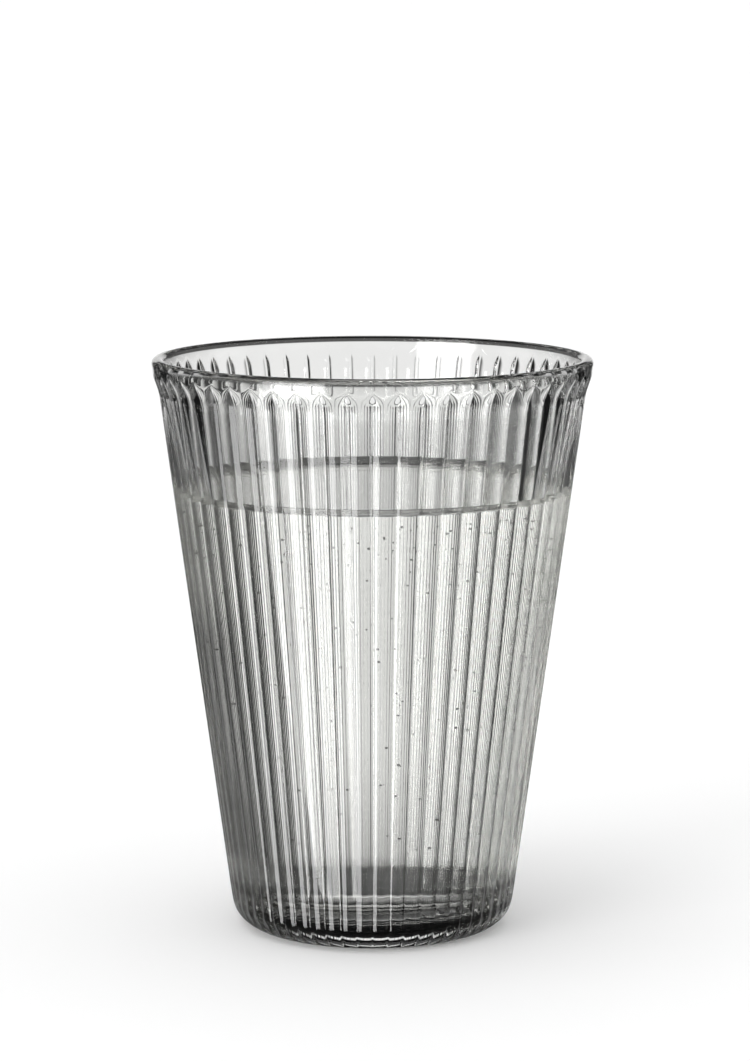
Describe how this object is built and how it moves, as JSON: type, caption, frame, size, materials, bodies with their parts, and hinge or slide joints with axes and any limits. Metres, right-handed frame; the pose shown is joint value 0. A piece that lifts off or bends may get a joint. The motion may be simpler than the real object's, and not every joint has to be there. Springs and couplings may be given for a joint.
{
  "type": "ribbed glass tumbler",
  "caption": "Tapered pressed-glass tumbler with rounded vertical ribs below a smooth rim band, a heavy rounded foot, and still water inside",
  "frame": {"origin": "centre of the ring that the tumbler stands on", "axes": "Z is the tumbler's axis of turning and points up through the mouth; a valley between two ribs lies on each of +X, -X, +Y and -Y"},
  "size_m": [0.0918, 0.0918, 0.12],
  "materials": {
    "glass": "gloss",
    "water": "gloss"
  },
  "bodies": {
    "root": {"tumbler": "glass", "water": "water"}
  },
  "joints": []
}
